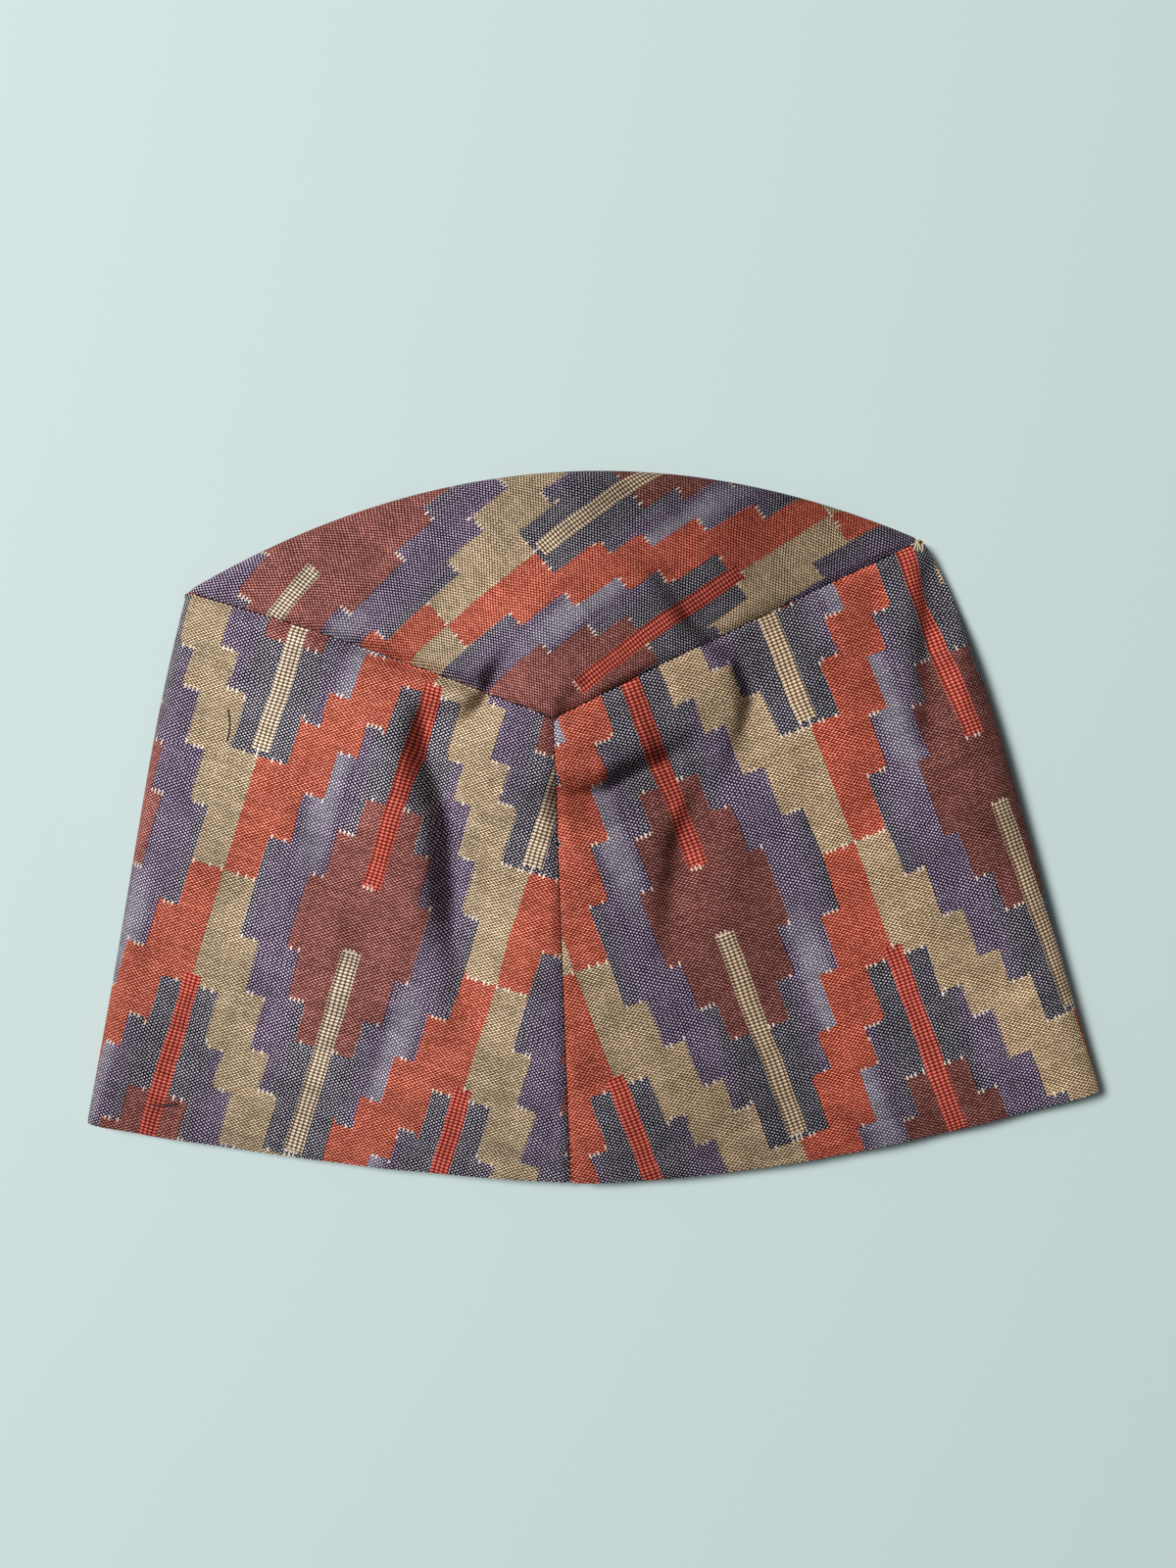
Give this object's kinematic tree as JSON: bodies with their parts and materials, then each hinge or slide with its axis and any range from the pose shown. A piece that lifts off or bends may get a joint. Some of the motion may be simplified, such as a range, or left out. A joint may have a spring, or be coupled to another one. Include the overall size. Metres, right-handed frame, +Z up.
{
  "type": "dhaka topi",
  "caption": "Soft brimless cloth cap lying flat, open at the hem, with two wrapped band panels and a lens-shaped crown.",
  "frame": {"origin": "middle of the flattened cap's outline, on the surface it lies on", "axes": "+X across the cap from its left fold to its right fold, +Y from the open hem to the crown, +Z up, away from the surface"},
  "size_m": [0.276, 0.1931, 0.0173],
  "materials": {
    "band_cloth": "woven cotton with an inlaid stepped pattern",
    "crown_cloth": "woven cotton with an inlaid stepped pattern"
  },
  "bodies": {
    "root": {"left_band_panel": "band_cloth", "right_band_panel": "band_cloth", "crown": "crown_cloth"}
  },
  "joints": []
}
